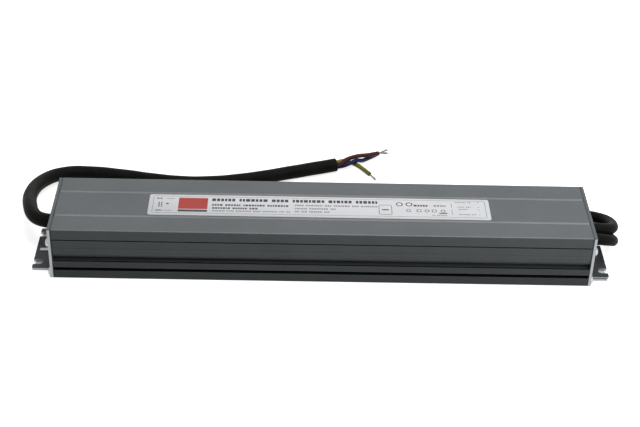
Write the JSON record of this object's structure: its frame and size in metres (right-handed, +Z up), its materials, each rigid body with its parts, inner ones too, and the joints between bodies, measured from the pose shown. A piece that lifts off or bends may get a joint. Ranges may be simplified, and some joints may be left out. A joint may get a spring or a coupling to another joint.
{
  "type": "waterproof dimmable power supply",
  "caption": "Long extruded aluminium power supply with finned sides, bent end plates with slotted feet, a plain label, a black supply cord with bared cores and black output cords.",
  "frame": {"origin": "middle of the underside, halfway between the two feet", "axes": "+X along the case from the supply cord to the output cords, -Y towards the side seen in front, +Z up out of the labelled top"},
  "size_m": [0.3922, 0.1548, 0.037],
  "materials": {
    "case_coating": "fine matte grey coating",
    "plate_coating": "satin grey coating, bare cut edges",
    "gasket_rubber": "matte",
    "screw_steel": "nickel-plated, satin",
    "label_film": "satin printed film",
    "grommet_rubber": "matte",
    "sheath_rubber": "matte, slightly worn",
    "core_brown": "matte",
    "core_blue": "matte",
    "core_green_yellow": "matte, two-coloured",
    "tinned_copper": "satin strands",
    "output_core": "matte, one red and one black",
    "board": "glossy solder resist",
    "tray_film": "satin film",
    "lead_insulation": "matte",
    "fuse_body": "glazed body, metal caps",
    "varistor_epoxy": "satin epoxy",
    "film_capacitor_box": "satin",
    "ferrite": "matte ferrite",
    "copper_winding": "enamelled wire",
    "winding_tape": "glossy tape",
    "package_epoxy": "matte epoxy",
    "heat_bar": "milled",
    "bulk_sleeve": "glossy sleeve",
    "output_sleeve": "glossy sleeve",
    "compound": "soft matte compound"
  },
  "bodies": {
    "root": {"housing": "case_coating", "end_plate_left": "plate_coating", "end_plate_right": "plate_coating", "gasket_left": "gasket_rubber", "gasket_right": "gasket_rubber", "end_screws_left": "screw_steel", "end_screws_right": "screw_steel", "rating_label": "label_film", "ac_grommet": "grommet_rubber", "dc_grommet_front": "grommet_rubber", "dc_grommet_rear": "grommet_rubber", "ac_cord": "sheath_rubber", "ac_core_live": "core_brown", "ac_core_neutral": "core_blue", "ac_core_earth": "core_green_yellow", "ac_conductors": "tinned_copper", "dc_cord_front": "sheath_rubber", "dc_cord_rear": "sheath_rubber", "dc_cores_front": "output_core", "dc_cores_rear": "output_core", "dc_conductors": "tinned_copper", "circuit_board": "board", "insulating_sheet": "tray_film", "input_leads": "lead_insulation", "output_leads": "lead_insulation", "fuse": "fuse_body", "varistor": "varistor_epoxy", "filter_capacitors": "film_capacitor_box", "filter_choke_core": "ferrite", "filter_choke_windings": "copper_winding", "bridge_rectifier": "package_epoxy", "booster_core": "ferrite", "booster_winding": "copper_winding", "power_transistors": "package_epoxy", "input_heat_bar": "heat_bar", "bulk_capacitors": "bulk_sleeve", "control_card": "board", "transformer_core": "ferrite", "transformer_winding": "winding_tape", "output_rectifiers": "package_epoxy", "output_heat_bar": "heat_bar", "output_choke": "copper_winding", "output_capacitors": "output_sleeve", "potting_compound": "compound"}
  },
  "joints": []
}
